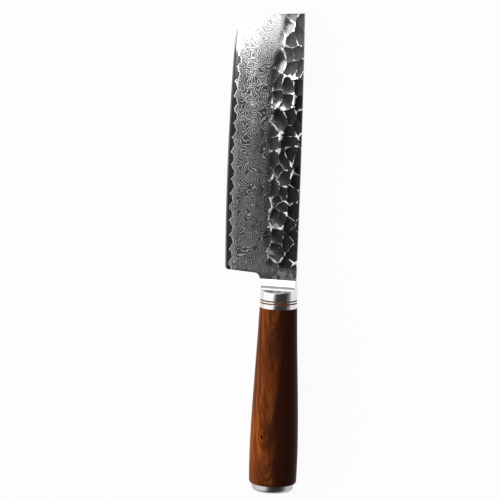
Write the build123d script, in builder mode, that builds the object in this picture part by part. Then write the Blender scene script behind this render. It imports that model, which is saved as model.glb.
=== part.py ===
# Nakiri knife with a three-layer hammered blade, a forged bolster and a turned wooden grip.
#
# Frame: the origin is on the handle's axis where the blade meets the bolster, midway through the
# blade's thickness. +X points to the tip, +Y to the cutting edge and +Z out of the left face.
# All lengths are in millimetres and all angles in degrees.
import os
from math import cos, degrees, radians, sin, sqrt

from build123d import *

# Blade outline
blade_reach = 171.4  # bolster to the corner where the spine meets the tip
spine_depth = 11.1  # handle axis to the spine at the bolster
spine_crown_depth = 11.45  # the same halfway along the blade
spine_tip_depth = 10.6  # the same at the tip
heel_depth = 36.25  # handle axis to the cutting edge at the heel
nose_depth = 34.75  # handle axis to the cutting edge where the nose begins
tip_lean = 4.2  # the blunt tip leans back toward the edge by this angle
sweep_radius = 31.0  # the nose is three arcs, from the tip round to the edge
sweep_turn = 30.0
nose_radius = 10.5
nose_turn = 43.0
shoulder_radius = 60.0
shoulder_turn = 10.0
heel_radius = 2.0
heel_lean = 3.0
choil_radius = 3.6
neck_edge_depth = 12.9  # handle axis to the neck on the edge side

# Blade section
spine_thickness = 2.2  # at the bolster
tip_thickness = 2.0  # at the spine's far corner
grind_thickness = 1.0  # where the lower grind begins, at the bolster
grind_height = 7.0  # from the heel's edge up to the lower grind
edge_thickness = 0.06
bevel_height = 1.0
bevel_thickness = 0.4  # of the cutting bevel at that height
bevel_reach = 3.0  # the bevel's cone reaches this far up, past the grind
core_thickness = 0.34

# Wavy line where the cladding ends above the edge
strip_height = 3.4
wave_height = 3.2
wave_pitch = 9.0
wave_steady_share = 0.7

# Hammer marks along the spine
peen_radius = 50.0
peen_depth = 0.32
peen_pitch = 10.6
peen_row_pitch = 6.6
peen_rows = 3
peen_inset = 2.6  # spine to the first row
peen_tip_inset = 3.0  # tip to the first mark
peen_heel_clear = 11.0  # smooth stretch left in front of the bolster
peen_scatter = 1.4
scatter_turn = 137.5  # turns each mark and each wave differently from the last

# Tang and rod, hidden in the handle
tang_width = 10.0
tang_thickness = 1.5  # thinner than the blade, which ends in a shoulder on each face
tang_length = 30.0
rod_radius = 3.0
rod_overlap = 10.0  # the rod's slot over the end of the tang
rod_bite = 2.8  # the rod's length inside the cap's disc
tang_bore_radius = 6.0
tang_bore_spare = 5.0  # bore beyond the end of the tang
rod_bore_radius = 4.0

# Bolster
bolster_lip = 0.25  # the bolster's front edge stands proud of the blade by this much
slope_length = 3.7
plateau_length = 1.7
neck_half = 4.2  # half-thickness between the two flats
facet_length = 1.9  # the facets run back by this much from the flats to the rim
ferrule_length = 5.0
ferrule_radius = 11.95
neck_inset = 0.15  # the neck's sides lie this far inside the ferrule
side_bulge = 0.25  # the front edge's rounded sides
rim_round = 0.3

# Rings between the bolster and the grip
spacer_thickness = 0.9
middle_ring_thickness = 0.8
collar_thickness = 2.9

# Grip, turned round
grip_length = 115.4
grip_front_radius = 12.15
grip_swell_radius = 15.6
grip_butt_radius = 15.3
waist_share = 0.3
waist_rise_share = 0.39
palm_share = 0.56
palm_rise_share = 0.78
swell_share = 0.82
butt_round = 1.6

# Butt cap
cap_radius = 13.5
cap_side = 4.5
cap_dome = 0.9
dome_rise_share = 0.75  # of the dome's height, halfway in from its rim
cap_round = 2.4
spigot_radius = 5.5
spigot_length = 8.0

# Cuts run past the metal by this much
overrun = 2.0

# Stations along the handle, as distances back from the blade
facet_start = slope_length + plateau_length
ferrule_start = facet_start + facet_length
bolster_length = ferrule_start + ferrule_length
middle_ring_start = bolster_length + spacer_thickness
spacer_rear_start = middle_ring_start + middle_ring_thickness
collar_start = spacer_rear_start + spacer_thickness
grip_start = collar_start + collar_thickness
grip_end = grip_start + grip_length
tang_bore_end = tang_length + tang_bore_spare
spigot_start = grip_end - spigot_length
rod_start = tang_length - rod_overlap
rod_end = grip_end + rod_bite

grind_depth = heel_depth - grind_height


def face_height(x, y):
    """Height of the blade's flat side above the middle plane, before it is hammered."""
    toward_tip = (spine_thickness - tip_thickness) / 2 * x / blade_reach
    toward_edge = (spine_thickness - grind_thickness) / 2 * (y + spine_depth) / (grind_depth + spine_depth)
    return spine_thickness / 2 - toward_tip - toward_edge


def side_plane(first, second, third, side):
    """Plane through three points of one blade face, its normal pointing out of the blade."""
    a, b, c = (Vector(p[0], p[1], side * p[2]) for p in (first, second, third))
    normal = (b - a).cross(c - a)
    return Plane(origin=a, x_dir=b - a, z_dir=normal if normal.Z * side > 0 else normal * -1)


# The blade with its tang as one wedge. The three layers are cut from it, and it cuts its own slot.
with BuildPart() as blade_form:
    sweep_angle = tip_lean + sweep_turn
    nose_angle = sweep_angle + nose_turn
    shoulder_angle = nose_angle + shoulder_turn
    nose_across = (
        sweep_radius * (sin(radians(sweep_angle)) - sin(radians(tip_lean)))
        + nose_radius * (sin(radians(nose_angle)) - sin(radians(sweep_angle)))
        + shoulder_radius * (sin(radians(shoulder_angle)) - sin(radians(nose_angle)))
    )
    tip_flat = (nose_depth - nose_across + spine_tip_depth) / cos(radians(tip_lean))
    with BuildSketch() as blade_outline:
        with BuildLine():
            spine = ThreePointArc(
                (0, -spine_depth),
                (blade_reach / 2, -spine_crown_depth),
                (blade_reach, -spine_tip_depth),
            )
            tip = PolarLine(spine @ 1, tip_flat, 90 + tip_lean)
            sweep_arc = JernArc(tip @ 1, tip % 1, sweep_radius, sweep_turn)
            nose_arc = JernArc(sweep_arc @ 1, sweep_arc % 1, nose_radius, nose_turn)
            shoulder = JernArc(nose_arc @ 1, nose_arc % 1, shoulder_radius, shoulder_turn)
            choil = CenterArc((0, neck_edge_depth + choil_radius), choil_radius, -90, 90 - heel_lean)
            heel_rise = heel_depth - (choil @ 1).Y
            heel = PolarLine(choil @ 1, heel_rise / cos(radians(heel_lean)), 90 - heel_lean)
            belly = TangentArc(shoulder @ 1, heel @ 1, tangent=shoulder % 1)
            Polyline(
                choil @ 0,
                (0, tang_width / 2),
                (-tang_length, tang_width / 2),
                (-tang_length, -tang_width / 2),
                (0, -tang_width / 2),
                spine @ 0,
            )
        make_face()
        fillet(blade_outline.vertices().sort_by_distance(heel @ 1)[0], heel_radius)
    extrude(amount=spine_thickness, both=True)
    belly_centre = belly.arc_center
    belly_radius = belly.radius
    bevel_slope = (bevel_thickness - edge_thickness) / 2 / bevel_height
    for side in (1, -1):
        wedge = side_plane(
            (0, -spine_depth, face_height(0, -spine_depth)),
            (blade_reach, -spine_depth, face_height(blade_reach, -spine_depth)),
            (0, grind_depth, face_height(0, grind_depth)),
            side,
        )
        split(bisect_by=wedge, keep=Keep.BOTTOM)
        grind = side_plane(
            (0, grind_depth, grind_thickness / 2),
            (blade_reach, grind_depth, grind_thickness / 2),
            (0, heel_depth - bevel_height, bevel_thickness / 2),
            side,
        )
        split(bisect_by=grind, keep=Keep.BOTTOM)
    # The cutting bevels are shallow cones about the centre of the belly's arc
    bevel_turn = 2 * degrees((belly @ 0 - belly @ 1).length / belly_radius)
    bevel_start = Vector(0, 1, 0).rotate(Axis.Z, -bevel_turn / 2)
    bevel_plane = Plane(origin=belly_centre, x_dir=bevel_start, z_dir=bevel_start.cross(Vector(0, 0, 1)))
    with BuildSketch(bevel_plane):
        for side in (1, -1):
            edge_z = side * edge_thickness / 2
            reach_z = edge_z + side * bevel_slope * bevel_reach
            with BuildLine():
                Polyline(
                    (belly_radius - bevel_reach, reach_z),
                    (belly_radius, edge_z),
                    (belly_radius + overrun, edge_z),
                    (belly_radius + overrun, reach_z),
                    close=True,
                )
            make_face()
    revolve(axis=Axis(belly_centre, (0, 0, 1)), revolution_arc=bevel_turn, mode=Mode.SUBTRACT)
    for side in (1, -1):
        with BuildSketch(Plane.XY.offset(side * tang_thickness / 2)):
            Rectangle(tang_length + overrun, tang_width + overrun, align=(Align.MAX, Align.CENTER))
        extrude(amount=side * spine_thickness, mode=Mode.SUBTRACT)


def belly_depth(x):
    """Distance from the handle's axis to the belly's arc at a place along the blade."""
    return belly_centre.Y + sqrt(belly_radius**2 - (x - belly_centre.X) ** 2)


wave_count = round(blade_reach / wave_pitch)
wave_points = []
for step in range(2 * wave_count + 3):
    wave_x = (step - 1) * blade_reach / (2 * wave_count)
    varied = (1 - wave_steady_share) * sin(radians(scatter_turn * step))
    crest = wave_height / 2 * (wave_steady_share + varied)
    wave_y = belly_depth(wave_x) - strip_height + (crest if step % 2 else -crest)
    wave_points.append((wave_x, wave_y))

peen_count = int((blade_reach - peen_tip_inset - peen_heel_clear) / peen_pitch) + 1
peen_places = []
for row in range(peen_rows):
    for step in range(peen_count):
        turn = radians(scatter_turn * (step + row * peen_count))
        peen_x = blade_reach - peen_tip_inset - (step + row % 2 / 2) * peen_pitch
        peen_y = -spine_depth + peen_inset + row * peen_row_pitch
        peen_places.append((peen_x + peen_scatter * sin(turn), peen_y + peen_scatter * cos(turn)))

# Damascus cladding of the left face, still smooth
with BuildPart() as cladding_blank:
    add(blade_form.part)
    with BuildSketch(Plane.XY.offset(core_thickness / 2)) as cladding_region:
        with BuildLine():
            for half_wave in zip(wave_points, wave_points[1:]):
                Spline(*half_wave, tangents=((1, 0), (1, 0)))
            Polyline(
                wave_points[-1],
                (wave_points[-1][0], -spine_crown_depth - overrun),
                (-tang_length - overrun, -spine_crown_depth - overrun),
                (-tang_length - overrun, wave_points[0][1]),
                wave_points[0],
            )
        make_face()
    extrude(amount=spine_thickness, mode=Mode.INTERSECT)

# The same with the hammer marks along the spine
with BuildPart() as cladding_left:
    add(cladding_blank.part)
    for x, y in peen_places:
        with Locations((x, y, face_height(x, y) + peen_radius - peen_depth)):
            Sphere(peen_radius, rotation=(90, 0, 0), mode=Mode.SUBTRACT)
cladding_left.part.label = "cladding_left"

# Cladding of the right face, its mirror image
with BuildPart() as cladding_right:
    mirror(cladding_left.part, about=Plane.XY)
cladding_right.part.label = "cladding_right"

# Core of hard steel, bare below the wavy line
with BuildPart() as blade_core:
    add(blade_form.part)
    add(cladding_blank.part, mode=Mode.SUBTRACT)
    mirror(cladding_blank.part, about=Plane.XY, mode=Mode.SUBTRACT)
blade_core.part.label = "blade_core"

# Round rear of the bolster, its front cut to two slanting facets
with BuildPart() as ferrule:
    with BuildSketch(Plane.YZ.offset(-bolster_length)):
        Circle(ferrule_radius)
    extrude(amount=bolster_length - facet_start)
    facet_reach = ferrule_radius + overrun
    facet_run = facet_length * (facet_reach - neck_half) / (ferrule_radius - neck_half)
    with BuildSketch(Plane.XZ):
        with BuildLine():
            Polyline(
                (-bolster_length, -facet_reach),
                (-bolster_length, facet_reach),
                (-facet_start - facet_run, facet_reach),
                (-facet_start, neck_half),
                (-facet_start, -neck_half),
                (-facet_start - facet_run, -facet_reach),
                close=True,
            )
        make_face()
    extrude(amount=facet_reach, both=True, mode=Mode.INTERSECT)
    rims = ferrule.edges().filter_by(GeomType.ELLIPSE)
    fillet(rims, rim_round)


def neck_section(plane, edge_side, spine_side, bulge, half):
    """A flat section across the neck with rounded sides."""
    edge_corner = edge_side - bulge
    spine_corner = spine_side - bulge
    with BuildSketch(plane) as section:
        with BuildLine():
            Line((-spine_corner, half), (edge_corner, half))
            ThreePointArc((edge_corner, half), (edge_side, 0), (edge_corner, -half))
            Line((edge_corner, -half), (-spine_corner, -half))
            ThreePointArc((-spine_corner, -half), (-spine_side, 0), (-spine_corner, half))
        make_face()
    return section.sketch


# Forged bolster: slopes up from the blade to a flat neck, then the ferrule. The tang passes through.
with BuildPart() as bolster:
    front_half = spine_thickness / 2 + bolster_lip
    neck_side = ferrule_radius - neck_inset
    neck_bulge = neck_side - sqrt(neck_side**2 - neck_half**2)
    slope_foot = neck_section(Plane.YZ, neck_edge_depth, spine_depth, side_bulge, front_half)
    slope_head = neck_section(
        Plane.YZ.offset(-slope_length), neck_side, neck_side, neck_bulge, neck_half
    )
    loft([slope_foot, slope_head], ruled=True)
    extrude(slope_head, amount=-plateau_length - facet_length)
    add(ferrule.part)
    add(blade_form.part, mode=Mode.SUBTRACT)
bolster.part.label = "bolster"

# Brown fibre ring behind the bolster
with BuildPart() as spacer_front:
    with BuildSketch(Plane.YZ.offset(-bolster_length)):
        Circle(ferrule_radius)
        Circle(tang_bore_radius, mode=Mode.SUBTRACT)
    extrude(amount=-spacer_thickness)
spacer_front.part.label = "spacer_front"

# Thin steel ring between the fibre rings
with BuildPart() as middle_ring:
    with BuildSketch(Plane.YZ.offset(-middle_ring_start)):
        Circle(ferrule_radius)
        Circle(tang_bore_radius, mode=Mode.SUBTRACT)
    extrude(amount=-middle_ring_thickness)
middle_ring.part.label = "middle_ring"

# Second brown fibre ring
with BuildPart() as spacer_rear:
    with BuildSketch(Plane.YZ.offset(-spacer_rear_start)):
        Circle(ferrule_radius)
        Circle(tang_bore_radius, mode=Mode.SUBTRACT)
    extrude(amount=-spacer_thickness)
spacer_rear.part.label = "spacer_rear"

# Steel collar against the wood
with BuildPart() as collar:
    with BuildSketch(Plane.YZ.offset(-collar_start)):
        Circle(ferrule_radius)
        Circle(tang_bore_radius, mode=Mode.SUBTRACT)
    extrude(amount=-collar_thickness)
collar.part.label = "collar"

# Wooden grip, turned to a swell near the butt and bored in three steps
with BuildPart() as grip:
    with BuildSketch(Plane.XZ):
        with BuildLine():
            waist_rise = waist_rise_share * (grip_swell_radius - grip_front_radius)
            palm_rise = palm_rise_share * (grip_swell_radius - grip_front_radius)
            profile = Spline(
                (-grip_start, grip_front_radius),
                (-grip_start - waist_share * grip_length, grip_front_radius + waist_rise),
                (-grip_start - palm_share * grip_length, grip_front_radius + palm_rise),
                (-grip_start - swell_share * grip_length, grip_swell_radius),
                (-grip_end, grip_butt_radius),
            )
            Polyline(profile @ 1, (-grip_end, 0), (-grip_start, 0), profile @ 0)
        make_face()
    revolve(axis=Axis.X)
    fillet(grip.faces().sort_by(Axis.X)[0].edges(), butt_round)
    with BuildSketch(Plane.YZ.offset(-grip_start)):
        Circle(tang_bore_radius)
    extrude(amount=grip_start - tang_bore_end, mode=Mode.SUBTRACT)
    with BuildSketch(Plane.YZ.offset(-grip_start)):
        Circle(rod_bore_radius)
    extrude(amount=-grip_length, mode=Mode.SUBTRACT)
    with BuildSketch(Plane.YZ.offset(-grip_end)):
        Circle(spigot_radius)
    extrude(amount=spigot_length, mode=Mode.SUBTRACT)
grip.part.label = "grip"

# Rod slotted over the end of the tang, its thread left plain
with BuildPart() as tie_rod:
    with BuildSketch(Plane.YZ.offset(-rod_start)):
        Circle(rod_radius)
    extrude(amount=rod_start - rod_end)
    add(blade_form.part, mode=Mode.SUBTRACT)
tie_rod.part.label = "tie_rod"

# Resin that fills the bores round the tang and the rod
with BuildPart() as tang_epoxy:
    with BuildSketch(Plane.YZ.offset(-bolster_length)):
        Circle(tang_bore_radius)
    extrude(amount=bolster_length - tang_bore_end)
    with BuildSketch(Plane.YZ.offset(-tang_bore_end)):
        Circle(rod_bore_radius)
    extrude(amount=tang_bore_end - spigot_start)
    add(blade_form.part, mode=Mode.SUBTRACT)
    add(tie_rod.part, mode=Mode.SUBTRACT)
tang_epoxy.part.label = "tang_epoxy"

# Domed steel cap with the spigot that screws on the rod
with BuildPart() as butt_cap:
    with BuildSketch(Plane.XZ):
        with BuildLine():
            cap_end = grip_end + cap_side + cap_dome
            dome_rise = cap_dome * dome_rise_share
            Polyline(
                (-cap_end, 0),
                (-grip_end, 0),
                (-grip_end, cap_radius),
                (-grip_end - cap_side, cap_radius),
            )
            ThreePointArc(
                (-grip_end - cap_side, cap_radius),
                (-grip_end - cap_side - dome_rise, cap_radius / 2),
                (-cap_end, 0),
            )
        make_face()
    revolve(axis=Axis.X)
    rim = butt_cap.edges().filter_by(lambda edge: edge.is_closed).sort_by(Axis.X)[0]
    fillet(rim, cap_round)
    with BuildSketch(Plane.YZ.offset(-grip_end)):
        Circle(spigot_radius)
    extrude(amount=spigot_length)
    with BuildSketch(Plane.YZ.offset(-spigot_start)):
        Circle(rod_radius)
    extrude(amount=spigot_start - rod_end, mode=Mode.SUBTRACT)
butt_cap.part.label = "butt_cap"

os.makedirs("parts", exist_ok=True)
for piece in (
    blade_core,
    cladding_left,
    cladding_right,
    bolster,
    spacer_front,
    middle_ring,
    spacer_rear,
    collar,
    grip,
    tie_rod,
    tang_epoxy,
    butt_cap,
):
    export_step(piece.part, f"parts/{piece.part.label}.step")
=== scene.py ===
"""A nakiri knife as it lies in the photograph, dressed around its CAD frame.

The sections follow the knife from the camera and the light to the blade's layers, the bolster,
the rings, the grip with what it hides, and the butt cap. Lengths are written in millimetres, and
times mm where Blender takes them in metres.
"""
from math import asin, cos, hypot, pi, radians, sin, sqrt

import bmesh
import bpy
from mathutils import Matrix, Vector
from mathutils.geometry import delaunay_2d_cdt


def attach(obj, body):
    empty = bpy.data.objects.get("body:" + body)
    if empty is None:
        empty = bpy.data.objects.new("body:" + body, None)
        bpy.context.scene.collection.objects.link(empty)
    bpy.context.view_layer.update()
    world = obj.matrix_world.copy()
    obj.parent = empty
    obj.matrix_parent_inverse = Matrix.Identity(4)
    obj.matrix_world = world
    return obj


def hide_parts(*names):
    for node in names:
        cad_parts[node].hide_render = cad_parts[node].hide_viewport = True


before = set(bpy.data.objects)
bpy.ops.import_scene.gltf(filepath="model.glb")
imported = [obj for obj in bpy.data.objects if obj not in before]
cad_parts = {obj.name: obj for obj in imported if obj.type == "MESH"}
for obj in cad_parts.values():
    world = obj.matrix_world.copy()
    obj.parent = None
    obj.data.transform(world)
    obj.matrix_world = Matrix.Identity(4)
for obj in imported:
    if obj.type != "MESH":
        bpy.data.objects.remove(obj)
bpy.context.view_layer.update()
mm = 0.001

# Camera
#
# It looks down on the knife from above the blade, a little from the spine's side. Its three axes
# and the point at the picture's centre were fitted to the outline and the rings in the photograph.
toward_camera = Vector((0.14401, -0.24827, 0.95793)).normalized()
picture_up = Vector((0.98905, 0.06778, -0.13112))
picture_right = picture_up.cross(toward_camera).normalized()
picture_up = toward_camera.cross(picture_right)
picture_centre = Vector((18.696, 18.888, 4.791)) * mm
camera_distance, view_limit = 1800 * mm, 20000 * mm
pixel = 0.64135 * mm
picture_size = 500
film = 36.0

camera = bpy.data.objects.new("camera", bpy.data.cameras.new("camera"))
camera.data.sensor_width = film
camera.data.lens = film * camera_distance / (pixel * picture_size)
camera.data.clip_end = view_limit
camera_turn = Matrix((picture_right, picture_up, toward_camera)).transposed().to_4x4()
camera_place = picture_centre + toward_camera * camera_distance
camera.matrix_world = Matrix.Translation(camera_place) @ camera_turn
bpy.context.scene.collection.objects.link(camera)
bpy.context.scene.camera = camera
bpy.context.scene.view_settings.view_transform = "Standard"


# Studio
#
# A white table under the knife, a wide window of soft light on the cutting edge's side, a second
# window low beyond the tip, which the bolster's slope mirrors, dim walls all round, and a small
# softbox high up beside the tip, whose mirror image burns out the nose of the blade.
class Wire:
    """An output in a node tree that takes part in sums like a number."""

    def __init__(self, nodes, output):
        self.nodes, self.output = nodes, output

    def __add__(self, other):
        return self.nodes.sum("ADD", self, other)

    def __radd__(self, other):
        return self.nodes.sum("ADD", other, self)

    def __sub__(self, other):
        return self.nodes.sum("SUBTRACT", self, other)

    def __rsub__(self, other):
        return self.nodes.sum("SUBTRACT", other, self)

    def __mul__(self, other):
        return self.nodes.sum("MULTIPLY", self, other)

    def __rmul__(self, other):
        return self.nodes.sum("MULTIPLY", other, self)

    def __truediv__(self, other):
        return self.nodes.sum("DIVIDE", self, other)


class Nodes:
    """Adds nodes to one tree: the settings are set first, then the sockets."""

    def __init__(self, tree):
        self.tree = tree

    def add(self, kind, settings=None, sockets=None, output=0):
        """One node of any kind, by one of its outputs."""
        node = self.tree.nodes.new(kind)
        for name, value in (settings or {}).items():
            setattr(node, name, value)
        for name, value in (sockets or {}).items():
            self.feed(node.inputs[name], value)
        return Wire(self, node.outputs[output])

    def feed(self, socket, value):
        """Links a wire to a socket, or writes a plain value on it."""
        if isinstance(value, Wire):
            self.tree.links.new(value.output, socket)
        else:
            socket.default_value = value

    def sum(self, operation, *values):
        """A Math node."""
        return self.add("ShaderNodeMath", {"operation": operation}, dict(enumerate(values)))

    def most(self, first, *others):
        """The greatest of several values."""
        for other in others:
            first = self.sum("MAXIMUM", first, other)
        return first

    def step(self, value, start, end, low=0.0, high=1.0):
        """Goes smoothly from low to high while value goes from start to end."""
        settings = {"interpolation_type": "SMOOTHSTEP"}
        sockets = dict(enumerate((value, start, end, low, high)))
        return self.add("ShaderNodeMapRange", settings, sockets)

    def vector(self, operation, *values, output=0, **named):
        """A Vector Math node."""
        sockets = {**dict(enumerate(values)), **named}
        return self.add("ShaderNodeVectorMath", {"operation": operation}, sockets, output)

    def axis(self, place, number):
        """One of a place's three coordinates."""
        return self.add("ShaderNodeSeparateXYZ", {}, {0: place}, number)

    def mix(self, factor, first, second):
        """Blends two colours."""
        first, second = ((*c, 1.0) if isinstance(c, tuple) else c for c in (first, second))
        sockets = {0: factor, 6: first, 7: second}
        return self.add("ShaderNodeMix", {"data_type": "RGBA"}, sockets, 2)

    def noise(self, place, size, detail=2.0, rough=0.5, output=0):
        """Soft noise from 0 to 1 whose lumps are about one size across."""
        sockets = {"Vector": place, "Scale": 1 / size, "Detail": detail, "Roughness": rough}
        return self.add("ShaderNodeTexNoise", {}, sockets, output)


class Finish(Nodes):
    """One material: a Principled shader with its constants, ready for what varies."""

    def __init__(self, name, constants):
        self.material = bpy.data.materials.new(name)
        self.material.use_nodes = True
        super().__init__(self.material.node_tree)
        self.shader = self.tree.nodes["Principled BSDF"]
        for socket, value in constants.items():
            self.shader.inputs[socket].default_value = value
        self.place = self.add("ShaderNodeTexCoord", output="Object")

    def varies(self, **wires):
        """Feeds sockets, named with _ for their spaces, with what changes over the surface."""
        for socket, wire in wires.items():
            self.feed(self.shader.inputs[socket.replace("_", " ")], wire)

    def relief(self, height, depth):
        """Feeds the Normal from a height between 0 and 1 that stands for a real depth."""
        bump = self.add("ShaderNodeBump", {}, {"Height": height, "Distance": depth})
        self.feed(self.shader.inputs["Normal"], bump)


table_drop, table_half = 15.7 * mm, 3000 * mm
table_corners = [(x * table_half, y * table_half) for x, y in ((-1, -1), (1, -1), (1, 1), (-1, 1))]
table_mesh = bpy.data.meshes.new("table")
table_mesh.from_pydata([(x, y, -table_drop) for x, y in table_corners], [], [(0, 1, 2, 3)])
table = bpy.data.objects.new("table", table_mesh)
bpy.context.scene.collection.objects.link(table)

# The camera, mirrors and glass see the table nearly white, with the knife's shadow faint on it.
# It throws no other light on the knife
paper = Finish("white_paper", {"Roughness": 0.9})
fibres = paper.noise(paper.place, 2 * mm)
paper.varies(Base_Color=paper.mix(fibres, (0.88, 0.88, 0.88), (0.92, 0.92, 0.92)))
glow_share = 0.95
seen_straight = paper.add("ShaderNodeLightPath", output="Is Camera Ray")
seen_mirrored = paper.add("ShaderNodeLightPath", output="Is Glossy Ray")
seen_through = paper.add("ShaderNodeLightPath", output="Is Transmission Ray")
white = paper.add("ShaderNodeEmission", {}, {"Color": (1.0, 1.0, 1.0, 1.0), "Strength": 1.0})
shown = paper.most(seen_straight, seen_mirrored, seen_through) * glow_share
lit_by_lamps = Wire(paper, paper.shader.outputs[0])
lit_paper = paper.add("ShaderNodeMixShader", {}, {0: shown, 1: lit_by_lamps, 2: white})
paper.feed(paper.tree.nodes["Material Output"].inputs["Surface"], lit_paper)
table_mesh.materials.append(paper.material)
table.visible_diffuse = False

window_centre, window_rim, window_full = Vector((0.0, 0.85, 0.53)), 0.62, 0.86
front_centre, front_rim, front_full = Vector((0.85, 0.25, 0.46)), 0.82, 0.9
wall_top, wall_full = 0.5, 0.25
window_light, front_light, wall_light, dim_light = 1.25, 2.0, 0.22, 0.04
world = bpy.data.worlds.new("studio")
bpy.context.scene.world = world
world.use_nodes = True
sky = Nodes(world.node_tree)
direction = sky.add("ShaderNodeTexCoord", output="Generated")
toward_window = sky.vector("DOT_PRODUCT", direction, window_centre, output="Value")
toward_front = sky.vector("DOT_PRODUCT", direction, front_centre, output="Value")
window = sky.step(toward_window, window_rim, window_full, dim_light, window_light)
front = sky.step(toward_front, front_rim, front_full, 0.0, front_light)
walls = sky.step(sky.axis(direction, 2), wall_top, wall_full, 0.0, wall_light)
background = world.node_tree.nodes["Background"]
background.inputs["Color"].default_value = (1.0, 1.0, 1.0, 1.0)
sky.feed(background.inputs["Strength"], sky.most(window, front, walls))

softbox_width, softbox_length, softbox_turn = 140 * mm, 200 * mm, radians(19)
softbox_side = Vector((94.5, 247.0, 800.0)) * mm
softbox_power, softbox_spill = 1.22, 0.05
softbox = bpy.data.objects.new("tip_softbox", bpy.data.lights.new("tip_softbox", "AREA"))
softbox.data.shape = "RECTANGLE"
softbox.data.size, softbox.data.size_y = softbox_width, softbox_length
softbox.data.energy = softbox_power
softbox.data.diffuse_factor = softbox_spill
outward = Vector((cos(softbox_turn), sin(softbox_turn), 0.0))
softbox_middle = softbox_side + outward * (softbox_width / 2)
softbox.matrix_world = Matrix.Translation(softbox_middle) @ Matrix.Rotation(softbox_turn, 4, "Z")
bpy.context.scene.collection.objects.link(softbox)


# Blade core
#
# The hard middle layer of the forged blade, bare in a dark strip along the cutting edge where it is
# etched, with a finely stoned bevel. Its CAD solid has its true shape and only gets its finish.
blade_reach = 171.4
spine_depth, spine_crown_depth, spine_tip_depth = 11.1, 11.45, 10.6
heel_depth, nose_depth = 36.25, 34.75
tip_lean = radians(4.2)
nose_arcs = ((31.0, 30.0), (10.5, 43.0), (60.0, 10.0))
arc_steps = 10
heel_lean, choil_turn = radians(3.0), radians(87.0)
choil_radius, neck_edge_depth = 3.6, 12.9


def arc_through(start, heading, radius, turn):
    """Points along an arc that turns left from a heading, and the heading where it ends."""
    centre = start + Vector((-sin(heading), cos(heading))) * radius
    points = []
    for step in range(1, arc_steps + 1):
        angle = heading + turn * step / arc_steps
        points.append(centre + Vector((sin(angle), -cos(angle))) * radius)
    return points, heading + turn


heading = tip_lean
nose_across = 0.0
for radius, turn in nose_arcs:
    nose_across += radius * (sin(heading + radians(turn)) - sin(heading))
    heading += radians(turn)
tip_flat = (nose_depth - nose_across + spine_tip_depth) / cos(tip_lean)
tip_start = Vector((blade_reach, -spine_tip_depth))
heading = radians(90) + tip_lean
nose_outline = [tip_start, tip_start + Vector((cos(heading), sin(heading))) * tip_flat]
for radius, turn in nose_arcs:
    points, heading = arc_through(nose_outline[-1], heading, radius, radians(turn))
    nose_outline += points
choil_drop = choil_radius * (1 - cos(choil_turn))
choil_end = Vector((choil_radius * sin(choil_turn), neck_edge_depth + choil_drop))
heel_back = (heel_depth - choil_end.y) * sin(heel_lean) / cos(heel_lean)
heel_corner = Vector((choil_end.x + heel_back, heel_depth))
belly_start = nose_outline[-1]
chord = heel_corner - belly_start
inward = Vector((-sin(heading), cos(heading)))
belly_radius = chord.length_squared / (2 * chord.dot(inward))
belly_centre = belly_start + inward * belly_radius


def dress(node, material):
    """Gives its finish to a CAD solid that keeps its shape."""
    materials = bpy.data.objects[node].data.materials
    materials.clear()
    materials.append(material)


stain_dark, stain_light = (0.014, 0.014, 0.015), (0.04, 0.04, 0.041)
bevel_grey, nose_grey = (0.25, 0.25, 0.25), (0.4, 0.4, 0.4)
bevel_height, nose_start, nose_full, stroke_depth = 0.95, 143.0, 152.0, 0.004
stoned = Finish("core_steel", {"Metallic": 1.0})
from_centre = stoned.vector(
    "DISTANCE",
    stoned.vector("MULTIPLY", stoned.place, (1.0, 1.0, 0.0)),
    (belly_centre.x * mm, belly_centre.y * mm, 0.0),
    output="Value",
)
from_edge = (belly_radius * mm - from_centre) / mm
across_blade = stoned.vector("MULTIPLY", stoned.place, (1.0, 0.06, 1.0))
strokes = stoned.noise(across_blade, 0.35 * mm, 3.0)
stains = stoned.noise(stoned.place, 9 * mm, 3.0)
on_bevel = stoned.step(from_edge, bevel_height + 0.1, bevel_height - 0.1)
at_nose = stoned.step(stoned.axis(stoned.place, 0) / mm, nose_start, nose_full)
nosed_color = stoned.mix(at_nose, stoned.mix(stains, stain_dark, stain_light), nose_grey)
stoned.varies(
    Base_Color=stoned.mix(on_bevel * (0.35 + 0.3 * strokes), nosed_color, bevel_grey),
    Roughness=0.09 + 0.03 * strokes + 0.25 * at_nose * on_bevel,
)
stoned.relief(strokes, stroke_depth * mm)
dress("blade_core", stoned.material)


# Claddings
#
# Two layers of folded damascus forged on the core, etched so that their pattern stands out and
# hammered along the spine. Between the marks stay thin polished ridges. The wavy line where they
# end above the edge shows bright.
core_half, tang_half_thickness, tang_half_width, tang_length = 0.17, 0.75, 5.0, 30.0
spine_half, tip_half, grind_half, grind_height = 1.1, 1.0, 0.5, 7.0
grind_slope, bevel_slope, edge_half = 0.05, 0.17, 0.03
wave_pitch, wave_height, wave_steady_share, strip_height = 9.0, 3.2, 0.7, 3.4
scatter_turn = radians(137.5)
waves = 2 * round(blade_reach / wave_pitch)


def wave_point(step):
    """A crest or a trough of the wavy line, counted from the heel."""
    along = (step - 1) * blade_reach / waves
    height_share = wave_steady_share + (1 - wave_steady_share) * sin(scatter_turn * step)
    crest = wave_height / 2 * height_share
    belly = belly_centre.y + sqrt(belly_radius**2 - (along - belly_centre.x) ** 2)
    return along, belly - strip_height + (crest if step % 2 else -crest)


def wave_depth(along):
    """The wavy line's distance from the handle's axis, pointed where it nears the edge."""
    step = int(along * waves / blade_reach + 1)
    (x0, y0), (x1, y1) = wave_point(step), wave_point(step + 1)
    share = (along - x0) / (x1 - x0)
    bent = sin(pi / 2 * share) if step % 2 else 1 - cos(pi / 2 * share)
    wriggle = 0.3 * sin(1.9 * along) + 0.2 * sin(3.3 * along + 1)
    return y0 + (y1 - y0) * bent + wriggle


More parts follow.
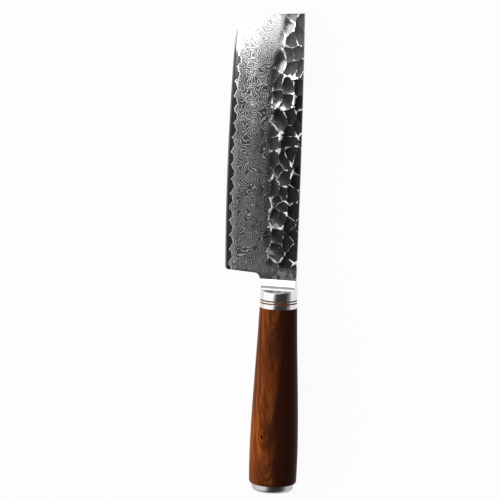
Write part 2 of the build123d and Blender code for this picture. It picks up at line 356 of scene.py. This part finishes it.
def spine_line(along):
    """The spine's distance from the handle's axis: a parabola in place of the very shallow arc."""
    share = along / blade_reach
    bulge = spine_crown_depth - (spine_depth + spine_tip_depth) / 2
    straight = spine_depth + (spine_tip_depth - spine_depth) * share
    return -(straight + 4 * bulge * share * (1 - share))


def half_thickness(along, across):
    """The blade's unhammered face above its middle plane."""
    if along < 0:
        return tang_half_thickness
    wedge_height = heel_depth - grind_height + spine_depth
    wedge = spine_half - (spine_half - tip_half) * along / blade_reach
    wedge -= (spine_half - grind_half) * (across + spine_depth) / wedge_height
    grind = grind_half - grind_slope * (across - heel_depth + grind_height)
    edge_distance = belly_radius - hypot(along - belly_centre.x, across - belly_centre.y)
    return min(wedge, grind, edge_half + bevel_slope * edge_distance)


line_step, choil_steps, shoulder_slit = 0.4, 8, 0.02
spine_places = [number / 2 for number in range(int(blade_reach * 2) + 1)]
face_outline = [Vector((along, spine_line(along))) for along in spine_places]
face_outline += nose_outline[:2]
for point in nose_outline[2:]:
    if point.y > wave_depth(point.x):
        break
    face_outline.append(point)
nose_stop = face_outline[-1].x
along = nose_stop - line_step / 2
heel_x = choil_end.x + (heel_depth - strip_height - choil_end.y) * sin(heel_lean)
while along > heel_x:
    face_outline.append(Vector((along, wave_depth(along))))
    along -= line_step
face_outline.append(Vector((heel_x, wave_depth(heel_x))))
for step in range(choil_steps + 1):
    angle = choil_turn * (1 - step / choil_steps)
    drop = choil_radius * (1 - cos(angle))
    face_outline.append(Vector((choil_radius * sin(angle), neck_edge_depth + drop)))
tang_outline = [
    Vector((0.0, tang_half_width)),
    Vector((-shoulder_slit, tang_half_width)),
    Vector((-tang_length, tang_half_width)),
    Vector((-tang_length, -tang_half_width)),
    Vector((-shoulder_slit, -tang_half_width)),
    Vector((0.0, -tang_half_width)),
]
outline = face_outline + tang_outline

# The points inside the outline stand closer together where the hammer marks are
hammered_depth, fine_spacing, coarse_spacing, row_share = 22.5, 0.45, 0.9, 0.87
first_gap, edge_gap = 0.3, 0.2
inner_points = []
row = 0
across = -spine_crown_depth + first_gap
while across < heel_depth:
    spacing = fine_spacing if across < hammered_depth - spine_depth else coarse_spacing
    along = first_gap + (row % 2) * spacing / 2
    while along < blade_reach:
        inner_points.append(Vector((along, across)))
        along += spacing
    row += 1
    across += spacing * row_share


def inside(point):
    """Whether a point lies within the face, clear of its outline."""
    lowest = wave_depth(min(point.x, nose_stop)) - edge_gap
    if not spine_line(point.x) + edge_gap < point.y < lowest:
        return False
    if point.x < choil_end.x + 1 and point.y > neck_edge_depth - edge_gap:
        if point.y > choil_end.y:
            heel = choil_end.x + (point.y - choil_end.y) * sin(heel_lean)
            return point.x > heel + edge_gap
        from_choil = hypot(point.x, point.y - neck_edge_depth - choil_radius)
        return from_choil > choil_radius + edge_gap
    for start, end in zip(nose_outline, nose_outline[1:]):
        side = (end - start).normalized()
        if (point - start).cross(side) > -edge_gap:
            return False
    return point.x < blade_reach


inner_points = [point for point in inner_points if inside(point)]
loop = list(range(len(outline)))
links = list(zip(loop, loop[1:] + loop[:1]))
tang_first = len(face_outline)
shoulder = [(tang_first + 5, tang_first), (tang_first + 4, tang_first + 1)]
flat = delaunay_2d_cdt(outline + inner_points, links + shoulder, [], 1, 1e-6)
flat_points, flat_faces = flat[0], flat[2]
plain = delaunay_2d_cdt(outline, links, [], 1, 1e-6)


def cladding(name, side):
    """One layer: its face, the flat against the core, and the thin walls between them."""
    points = [(p.x * mm, p.y * mm, side * half_thickness(p.x, p.y) * mm) for p in flat_points]
    faces = [tuple(face) for face in flat_faces]
    back = len(points)
    points += [(p.x * mm, p.y * mm, side * core_half * mm) for p in plain[0]]
    faces += [tuple(back + corner for corner in reversed(face)) for face in plain[2]]
    for first, second in links:
        faces.append((first, back + first, back + second, second))
    if side < 0:
        faces = [tuple(reversed(face)) for face in faces]
    mesh = bpy.data.meshes.new(name)
    mesh.from_pydata(points, [], faces)
    skin = mesh.attributes.new("skin", "FLOAT", "POINT")
    line = mesh.attributes.new("from_line", "FLOAT", "POINT")
    for number, point in enumerate(flat_points):
        skin.data[number].value = 1.0 if point.x > 0 else 0.0
        line.data[number].value = wave_depth(min(max(point.x, 0), nose_stop)) - point.y
    piece = bpy.data.objects.new(name, mesh)
    bpy.context.scene.collection.objects.link(piece)
    return piece


# Hammer marks are shallow hollows about the cells of one irregular pattern, the same in the shape
# and in the finish
mark_length, mark_width, mark_depth, mark_reach, mark_wander = 9.6, 7.2, 0.19, 0.8, 0.95
mark_bend_size, mark_bend = 7.0, 3.0
first_mark, first_row = 0.35, 7.0
narrow_start, narrow_end, narrowed_by = 128.0, 160.0, 7.0
band_end, band_fade, heel_start, heel_fade = 16.0, 7.5, 7.0, 4.0


def mark_place(nodes, place):
    """Stretches the plane so that a hammer mark is one cell, and moves it to a fixed start."""
    flat = nodes.vector("MULTIPLY", place, (1.0, 1.0, 0.0))
    bend = nodes.noise(flat, mark_bend_size * mm, 1.0, output="Color")
    flat = nodes.vector("ADD", flat, nodes.vector("SCALE", bend, Scale=mark_bend * mm))
    cell_size = (1 / (mark_length * mm), 1 / (mark_width * mm), 0.0)
    stretched = nodes.vector("MULTIPLY", flat, cell_size)
    return nodes.vector("ADD", stretched, (first_mark, spine_depth / mark_width + first_row, 0.0))


def mark_cells(nodes, place, feature, output="Distance"):
    """Distance to the nearest mark's centre, in cells, that centre, or distance to the ridge."""
    settings = {"voronoi_dimensions": "2D", "feature": feature}
    sockets = {"Vector": mark_place(nodes, place), "Scale": 1.0, "Randomness": mark_wander}
    return nodes.add("ShaderNodeTexVoronoi", settings, sockets, output)


def narrowing(nodes, along):
    """How much narrower the hammered band gets near the tip."""
    return nodes.step(along / mm, narrow_start, narrow_end, 0.0, narrowed_by)


def hammered_band(nodes, along, across):
    """Full along the spine, fading toward the edge and toward the bolster."""
    depth = (across + spine_depth * mm) / mm + narrowing(nodes, along)
    band = nodes.step(depth, band_end, band_end + band_fade, 1.0, 0.0)
    return band * nodes.step(along / mm, heel_start, heel_start + heel_fade)


tree = bpy.data.node_groups.new("hammered_face", "GeometryNodeTree")


def tree_socket(name, way, kind):
    """Adds a named input or output to the tree that hammers a face."""
    return tree.interface.new_socket(name, in_out=way, socket_type=kind)


tree_socket("Geometry", "OUTPUT", "NodeSocketGeometry")
tree_socket("Geometry", "INPUT", "NodeSocketGeometry")
depth_input = tree_socket("Mark depth", "INPUT", "NodeSocketFloat")
reach_input = tree_socket("Mark reach", "INPUT", "NodeSocketFloat")
steel_input = tree_socket("Steel", "INPUT", "NodeSocketMaterial")
forge = Nodes(tree)
entry = tree.nodes.new("NodeGroupInput")
given = {socket.name: Wire(forge, socket) for socket in entry.outputs if socket.name}
position = forge.add("GeometryNodeInputPosition")
x, y, z = (forge.axis(position, number) for number in range(3))
skin = forge.add("GeometryNodeInputNamedAttribute", {"data_type": "FLOAT"}, {"Name": "skin"})
near = mark_cells(forge, position, "F1") / given["Mark reach"]
hollow = forge.most(1 - near * near, 0.0) * hammered_band(forge, x, y) * skin
sunk = hollow * given["Mark depth"] * forge.sum("SIGN", z)
offset = forge.add("ShaderNodeCombineXYZ", {}, {2: 0 - sunk})
moved = forge.add(
    "GeometryNodeSetPosition", {}, {"Geometry": given["Geometry"], "Offset": offset}
)
real = forge.add("GeometryNodeRealizeInstances", {}, {"Geometry": moved})
dressed = forge.add(
    "GeometryNodeSetMaterial", {}, {"Geometry": real, "Material": given["Steel"]}
)
forge.feed(tree.nodes.new("NodeGroupOutput").inputs[0], dressed)

damascus = Finish("damascus_steel", {"Metallic": 1.0})
place = damascus.place
x, y = damascus.axis(place, 0), damascus.axis(place, 1)
from_bolster, from_axis = x / mm, y / mm
from_line = damascus.add("ShaderNodeAttribute", {"attribute_name": "from_line"}, output="Fac")
band = hammered_band(damascus, x, y)

# The folded layers: thin light lines an even step apart round scattered hills, bent by two noises,
# drawn along the wavy line where they come near it, and fainter in places, by the bolster and
# toward the tip
hill_size, layer_step, hills_by_line = 11.0, 1.2, 0.25
bend_size, bent_by, wriggle_size, wriggled_by = 8.0, 11.0, 2.6, 1.5
bends = damascus.noise(place, bend_size * mm, 1.0, 0.4, output="Color")
wriggles = damascus.noise(place, wriggle_size * mm, 1.0, 0.5, output="Color")
bent = damascus.vector("ADD", place, damascus.vector("SCALE", bends, Scale=bent_by * mm))
wriggle = damascus.vector("SCALE", wriggles, Scale=wriggled_by * mm)
bent = damascus.vector("ADD", bent, wriggle)
hills = damascus.add(
    "ShaderNodeTexVoronoi",
    {"voronoi_dimensions": "2D", "feature": "SMOOTH_F1"},
    {"Vector": bent, "Scale": 1 / (hill_size * mm), "Smoothness": 0.12},
)
by_line = damascus.step(from_line, 5.5, 1.8)
apart = hills * (hill_size / layer_step)
drawn_along = from_line / layer_step + apart * hills_by_line
layers = apart * (1 - by_line) + drawn_along * by_line
fold = damascus.sum("PINGPONG", layers, 0.5) * 2
light_layer = damascus.step(fold, 0.5, 1.0)
patchy = damascus.step(damascus.noise(place, 12 * mm, 2.0), 0.32, 0.5, 0.6, 1.0)
past_bolster = damascus.step(from_bolster, 1.5, 7.0, 0.2, 1.0)
short_of_nose = damascus.step(from_bolster, 150.0, 105.0, 0.42, 1.0)
contrast = (1 - band) * patchy * past_bolster * short_of_nose

# The smooth steel: darker beside the hammer marks, and plain with pale scuffs by the bolster
etch_depth = 0.004
layer_dark, layer_light = (0.074, 0.074, 0.076), (0.51, 0.51, 0.52)
shade_grey, plain_grey = (0.012, 0.012, 0.012), (0.05, 0.05, 0.052)
scuff_grey, line_grey = (0.5, 0.5, 0.51), (0.7, 0.7, 0.71)
flat_color = damascus.mix(light_layer * contrast, layer_dark, layer_light)
near_marks = damascus.step(from_axis, 22.0, 14.5) * damascus.step(from_bolster, 8.0, 34.0)
flat_color = damascus.mix(near_marks * 0.34, flat_color, shade_grey)
by_bolster = damascus.step(from_bolster, 9.0, 5.0) * damascus.step(from_axis, 9.0, 2.0)
scuffs = damascus.step(damascus.noise(place, 3 * mm, 2.0), 0.42, 0.68) * by_bolster
flat_color = damascus.mix(by_bolster * 0.6, flat_color, plain_grey)
flat_color = damascus.mix(scuffs * 0.5, flat_color, scuff_grey)
bright_line = damascus.step(from_line, 0.6, 0.15)
lined_color = damascus.mix(bright_line * 0.8, flat_color, line_grey)

# The hammer marks: etched dark, a little darker toward the tip, and in the row farthest from the
# spine lighter toward the heel and the edge, with a pale streak in some: both painted reflections
# of the window in the hollows
etched_grey, etched_tip_grey = (0.03, 0.03, 0.031), (0.022, 0.022, 0.023)
lit_grey, highlight_streak_grey, ridge_grey = (0.14, 0.14, 0.144), (0.8, 0.8, 0.81), (0.95, 0.95, 0.95)
cells = mark_cells(damascus, place, "F1")
centre = mark_cells(damascus, place, "F1", "Position")
off_centre = damascus.vector("SUBTRACT", mark_place(damascus, place), centre)
tipward, edgeward = (damascus.axis(off_centre, number) for number in (0, 1))
centre_row = damascus.axis(centre, 1)
centre_depth = (centre_row - first_row) * mark_width + narrowing(damascus, x)
in_band = damascus.step(centre_depth, 15.0, 19.0, 1.0, 0.0)
marked = in_band * damascus.step(from_bolster, heel_start - 2, heel_start + 2)
slant = (edgeward - tipward) * 0.7
last_row = damascus.step(centre_depth, 9.5, 12.5)
# Painted reflection of the window on the heel and edge side of the last row's hollows
lit = damascus.step(slant, -0.1, 0.6) * last_row
far = damascus.step(from_bolster, 118.0, 145.0)
etched = damascus.mix(far, etched_grey, etched_tip_grey)
facet_color = damascus.mix(lit * (1 - far * 0.85), etched, lit_grey)
# Pale streaks of painted highlight in some of those hollows, short of the tip
streak_patches = damascus.step(damascus.noise(place, 3 * mm, 1.0), 0.45, 0.6)
highlight_streak = damascus.step(slant, 0.3, 0.55) * last_row * streak_patches
short_of_tip = damascus.step(from_bolster, 140.0, 115.0)
facet_color = damascus.mix(highlight_streak * short_of_tip, facet_color, highlight_streak_grey)
marked_color = damascus.mix(marked, lined_color, facet_color)

# The ridges between them: polished, and white beyond polished steel as a painted highlight, widest
# where three meet, worn away in places and less bright toward the tip
from_ridge = mark_cells(damascus, place, "DISTANCE_TO_EDGE")
meeting = damascus.step(cells, 0.42, 0.75)
unworn = damascus.step(damascus.noise(place, 4 * mm, 2.0), 0.46, 0.6)
ridge_width = 0.001 + (0.018 + 0.19 * meeting) * unworn
ridge = damascus.step(from_ridge, ridge_width * 0.4, ridge_width, 1.0, 0.0)
# Polished ridges whose whiteness is partly painted highlight
ridge_polish_and_highlight = ridge * damascus.step(band, 0.2, 0.7) * (1 - far * 0.7)
damascus.varies(
    Base_Color=damascus.mix(ridge_polish_and_highlight, marked_color, ridge_grey),
    Roughness=0.1 + 0.03 * light_layer * contrast + 0.16 * far * marked,
)
damascus.relief(light_layer * contrast, etch_depth * mm)

sharp_angle = radians(40)
for name, side in (("cladding_left", 1), ("cladding_right", -1)):
    layer = cladding(name + "_hammered", side)
    hammering = layer.modifiers.new("hammering", "NODES")
    hammering.node_group = tree
    hammering[depth_input.identifier] = mark_depth * mm
    hammering[reach_input.identifier] = mark_reach
    hammering[steel_input.identifier] = damascus.material
    bpy.context.view_layer.update()
    evaluated = layer.evaluated_get(bpy.context.evaluated_depsgraph_get())
    finished = bpy.data.meshes.new_from_object(evaluated)
    layer.modifiers.remove(hammering)
    layer.data = finished
    finished.shade_smooth()
    finished.set_sharp_from_angle(angle=sharp_angle)
    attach(layer, "root")
    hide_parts(name)


# Bolster
#
# One forging of polished steel, welded over the root of the blade: it slopes up to a flat neck and
# ends in a round ferrule. Its shape is its CAD solid's, shaded smooth up to its edges.
steel_grey, cap_grey = (0.76, 0.76, 0.77), (0.5, 0.5, 0.505)
cap_front, brush_depth = -133.2, 0.004
polish = Finish("polished_steel", {"Metallic": 1.0})
turned_place = polish.vector("MULTIPLY", polish.place, (30.0, 1.0, 1.0))
brushing = polish.noise(turned_place, 5 * mm, 3.0, 0.6)
smudges = polish.noise(polish.place, 9 * mm, 2.0)
on_cap = polish.step(polish.axis(polish.place, 0) / mm, cap_front + 0.1, cap_front - 0.1)
polish.varies(
    Base_Color=polish.mix(on_cap, steel_grey, cap_grey),
    Roughness=0.1 + 0.1 * brushing + 0.08 * smudges + 0.1 * on_cap,
)
polish.relief(brushing, brush_depth * mm)


def smooth(piece, name, material, crease=35):
    """Turns a mesh's faces outwards, shades it smooth up to a crease and lets it stand for a node."""
    shell = bmesh.new()
    shell.from_mesh(piece.data)
    bmesh.ops.recalc_face_normals(shell, faces=shell.faces)
    shell.to_mesh(piece.data)
    shell.free()
    piece.data.shade_smooth()
    piece.data.set_sharp_from_angle(angle=radians(crease))
    piece.data.materials.append(material)
    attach(piece, "root")
    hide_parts(name)


same_place, same_plane = 0.001 * mm, radians(1)
forging = bmesh.new()
forging.from_mesh(bpy.data.objects["bolster"].data)
bmesh.ops.remove_doubles(forging, verts=forging.verts, dist=same_place)
bmesh.ops.dissolve_limit(
    forging, angle_limit=same_plane, verts=forging.verts, edges=forging.edges
)
bolster_mesh = bpy.data.meshes.new("bolster_polished")
forging.to_mesh(bolster_mesh)
forging.free()
bolster_mesh.attributes.remove(bolster_mesh.attributes["custom_normal"])
bolster = bpy.data.objects.new("bolster_polished", bolster_mesh)
bpy.context.scene.collection.objects.link(bolster)
smooth(bolster, "bolster", polish.material, crease=22)


# Rings
#
# A thin steel ring between two rings of brown fibre, then a steel collar against the wood, all
# threaded on the tang and turned down with the ferrule, the fibre a hair below the steel.
def rounded(corners):
    """A closed outline whose corners, each a place, a radius and a round, are softened."""
    outline = []
    for number, (along, out, round_size) in enumerate(corners):
        here = Vector((along, out))
        before = (Vector(corners[number - 1][:2]) - here).normalized()
        after = (Vector(corners[(number + 1) % len(corners)][:2]) - here).normalized()
        if not round_size:
            outline.append(here)
            continue
        for step in range(5):
            share = step / 4
            outline.append(here + (before * (1 - share) ** 2 + after * share**2) * round_size)
    return outline


def turned(name, outline, sides=128):
    """Spins a closed outline of places and radii round the handle's axis."""
    points, rings, faces = [], [], []
    for along, out in outline:
        rings.append(len(points))
        count = sides if out > 0 else 1
        for step in range(count):
            angle = 2 * pi * step / sides
            points.append((along * mm, out * sin(angle) * mm, out * cos(angle) * mm))
    for number, first in enumerate(rings):
        following = (number + 1) % len(rings)
        second = rings[following]
        first_out, second_out = outline[number][1], outline[following][1]
        if first_out <= 0 and second_out <= 0:
            continue
        for step in range(sides):
            after = (step + 1) % sides
            corners = [first + (step if first_out > 0 else 0)]
            corners += [second + (step if second_out > 0 else 0)]
            corners += [second + after] if second_out > 0 else []
            corners += [first + after] if first_out > 0 else []
            faces.append(corners)
    mesh = bpy.data.meshes.new(name)
    mesh.from_pydata(points, [], faces)
    piece = bpy.data.objects.new(name, mesh)
    bpy.context.scene.collection.objects.link(piece)
    return piece


ferrule_radius, tang_bore_radius, ring_bevel, fibre_dip = 11.95, 6.0, 0.05, 0.05
strand_size, strand_depth = 0.35, 0.02
strand_dark, strand_light = (0.11, 0.03, 0.009), (0.3, 0.095, 0.028)
fibre = Finish("brown_fibre", {"Roughness": 0.5, "Specular IOR Level": 0.15})
strands = fibre.noise(fibre.place, strand_size * mm, 3.0, 0.6)
fibre.varies(Base_Color=fibre.mix(strands, strand_dark, strand_light))
fibre.relief(strands, strand_depth * mm)
for name, front, back, dip, finish in (
    ("spacer_front", -12.3, -13.2, fibre_dip, fibre),
    ("middle_ring", -13.2, -14.0, 0.0, polish),
    ("spacer_rear", -14.0, -14.9, fibre_dip, fibre),
    ("collar", -14.9, -17.8, 0.0, polish),
):
    section = rounded((
        (front, tang_bore_radius, 0),
        (front, ferrule_radius - dip, ring_bevel),
        (back, ferrule_radius - dip, ring_bevel),
        (back, tang_bore_radius, 0),
    ))
    ring = turned(name + "_turned", section)
    smooth(ring, name, finish.material)


# Grip
#
# Reddish hardwood turned to a swell near the butt, bored in three steps for the tang, the rod and
# the cap's spigot, then sanded and oiled. Its growth rings lie round a pith well below it, a little
# askew, so they cut its upper side in long arches.
grip_start, grip_end, grip_length = -17.8, -133.2, 115.4
grip_stations = ((0.0, 12.15), (0.3, 13.4955), (0.56, 14.841), (0.82, 15.6), (1.0, 15.3))
sanded_off = 0.007


def grip_radius(share):
    """The smooth curve through the stations' radii, less a hair, so it stays in the CAD box."""
    total = 0.0
    for here, out in grip_stations:
        weight = out
        for other, _ in grip_stations:
            if other != here:
                weight *= (share - other) / (here - other)
        total += weight
    return total - sanded_off


butt_round, front_round, front_land = 1.6, 0.25, 1.0
spigot_radius, spigot_start, rod_bore_radius, tang_bore_end = 5.5, -125.2, 4.0, -35.0
first_share, last_share, side_steps, round_steps = 0.02, 1 - butt_round / grip_length, 60, 8
grip_outline = rounded((
    (grip_start, tang_bore_radius, 0),
    (grip_start, grip_radius(0), front_round),
    (grip_start - front_land, grip_radius(front_land / grip_length), 0),
))
for step in range(side_steps + 1):
    share = first_share + (last_share - first_share) * step / side_steps
    grip_outline.append(Vector((grip_start - grip_length * share, grip_radius(share))))
for step in range(1, round_steps + 1):
    angle = radians(90) * step / round_steps
    out = grip_radius(1) - butt_round * (1 - cos(angle))
    grip_outline.append(Vector((grip_end + butt_round * (1 - sin(angle)), out)))
grip_outline += [
    Vector((grip_end, spigot_radius)),
    Vector((spigot_start, spigot_radius)),
    Vector((spigot_start, rod_bore_radius)),
    Vector((tang_bore_end, rod_bore_radius)),
    Vector((tang_bore_end, tang_bore_radius)),
]
grip = turned("grip_turned", grip_outline, sides=160)

wood = Finish("grip_wood", {
    "IOR": 1.45,
    "Specular IOR Level": 0.035,
    "Specular Tint": (1.0, 0.5, 0.2, 1.0),
})


def with_grain(squeeze):
    """The wood's place squeezed along the handle, so that a pattern on it runs lengthwise."""
    return wood.vector("MULTIPLY", wood.place, (squeeze, 1.0, 1.0))


pith_place = (-75.0 * mm, -3.0 * mm, -55.0 * mm)
pith_turn = (0.0, radians(-4.6), 0.0)
knot_place = (-100.6 * mm, 4.6 * mm, 14.7 * mm)
knot_squeeze = 0.5
knot_middle = (knot_place[0] * knot_squeeze, *knot_place[1:])
from_knot = wood.vector("DISTANCE", with_grain(knot_squeeze), knot_middle, output="Value") / mm
swirl = 1.4 * wood.step(from_knot, 4.5, 0.6)
wander = wood.noise(with_grain(0.4), 9 * mm, 2.0, 0.5)
askew = wood.add(
    "ShaderNodeVectorRotate",
    {"rotation_type": "EULER_XYZ"},
    {"Vector": wood.vector("SUBTRACT", wood.place, pith_place), "Rotation": pith_turn},
)
side_way, up_way = wood.axis(askew, 1), wood.axis(askew, 2)
from_pith = wood.sum("SQRT", side_way * side_way + up_way * up_way) / mm + wander * 0.9 + swirl
years = wood.add("ShaderNodeCombineXYZ", {}, {0: from_pith, 1: wander * 2.0})
late = wood.step(wood.noise(years, 0.7, 2.0, 0.5), 0.38, 0.58)

# Orange brown, paler and more orange near the butt on the window's side and dark on the far side,
# partly the wood's own tone and partly painted light and painted shade, under the dark late
# wood of each year, fine specks, the small knot and the pores
early_dark, early_light = (0.16, 0.035, 0.009), (0.36, 0.09, 0.018)
butt_orange, heartwood_and_shade_brown = (0.5, 0.12, 0.018), (0.055, 0.015, 0.0085)
late_brown, knot_brown = (0.045, 0.011, 0.005), (0.01, 0.005, 0.004)
pore_brown, pore_depth = (0.02, 0.006, 0.003), 0.02
tone = wood.noise(with_grain(0.12), 5 * mm, 3.0, 0.6)
pores = wood.step(wood.noise(with_grain(0.06), 0.6 * mm, 3.0, 0.6), 0.56, 0.7)
speckle = wood.step(wood.noise(with_grain(0.5), 0.9 * mm, 2.0, 0.6), 0.5, 0.7)
# Which side faces the window: the orange wood there is partly painted light, the dark wood on the far
# side partly painted shade
side = wood.axis(wood.place, 1) / mm + wander * 7.0 - 1.5
along_handle = wood.axis(wood.place, 0) / mm
near_butt = wood.step(along_handle, -70.0, -100.0) * wood.step(along_handle, -128.0, -110.0)
pale = wood.mix(wood.step(tone, 0.3, 0.7), early_dark, early_light)
orange_and_light = wood.mix(near_butt * wood.step(side, 4.0, 10.0) * 0.8, pale, butt_orange)
heartwood_and_shade = wood.mix(wood.step(side - late, 4.5, -4.5), orange_and_light, heartwood_and_shade_brown)
ringed = wood.mix(late * 0.58 + speckle * 0.25, heartwood_and_shade, late_brown)
knotted = wood.mix(wood.step(from_knot, 1.1, 0.4), ringed, knot_brown)
wood.varies(
    Base_Color=wood.mix(pores * 0.35, knotted, pore_brown),
    Roughness=0.34 + 0.12 * pores + 0.06 * late,
)
wood.relief(1 - pores, pore_depth * mm)
smooth(grip, "grip", wood.material)


# Tie rod and resin
#
# A steel rod brazed on the tang and run back to the cap, and the resin that fills the bores round
# both. They stay hidden in the handle, so their CAD solids only get their finishes.
rod_grey, lathe_depth = (0.5, 0.5, 0.5, 1.0), 0.01
rod_steel = Finish("rod_steel", {"Base Color": rod_grey, "Metallic": 1.0})
lathed = rod_steel.vector("MULTIPLY", rod_steel.place, (20.0, 1.0, 1.0))
turning = rod_steel.noise(lathed, 3 * mm)
rod_steel.varies(Roughness=0.28 + 0.15 * turning)
rod_steel.relief(turning, lathe_depth * mm)
dress("tie_rod", rod_steel.material)

resin_dark, resin_light = (0.34, 0.28, 0.18), (0.46, 0.42, 0.32)
resin = Finish("epoxy", {"Roughness": 0.2})
clouds = resin.noise(resin.place, 4 * mm, 3.0)
resin.varies(Base_Color=resin.mix(clouds, resin_dark, resin_light))
dress("tang_epoxy", resin.material)


# Butt cap
#
# A turned and polished steel button. Its spigot reaches into the wood and screws on the tie rod's
# end, which pulls the whole handle together.
cap_radius, cap_round, dome_radius, cap_end = 13.5, 2.4, 101.7, -138.6
rod_radius, rod_end, cap_bevel = 3.0, -136.0, 0.12
dome_steps, rim_steps = 12, 10
dome_middle = cap_end + dome_radius
rim_angle = asin((cap_radius - cap_round) / (dome_radius - cap_round))
rim_middle = dome_middle - (dome_radius - cap_round) * cos(rim_angle)
cap_outline = [Vector((cap_end, 0.0))]
for step in range(1, dome_steps + 1):
    angle = rim_angle * step / dome_steps
    on_dome = (dome_middle - dome_radius * cos(angle), dome_radius * sin(angle))
    cap_outline.append(Vector(on_dome))
for step in range(1, rim_steps + 1):
    angle = rim_angle + (pi / 2 - rim_angle) * step / rim_steps
    out = cap_radius - cap_round * (1 - sin(angle))
    cap_outline.append(Vector((rim_middle - cap_round * cos(angle), out)))
cap_outline += [
    Vector((grip_end - cap_bevel, cap_radius)),
    Vector((grip_end, cap_radius - cap_bevel)),
    Vector((grip_end, spigot_radius)),
    Vector((spigot_start, spigot_radius)),
    Vector((spigot_start, rod_radius)),
    Vector((rod_end, rod_radius)),
    Vector((rod_end, 0.0)),
]
cap = turned("butt_cap_turned", cap_outline)
smooth(cap, "butt_cap", polish.material)


bpy.context.view_layer.update()
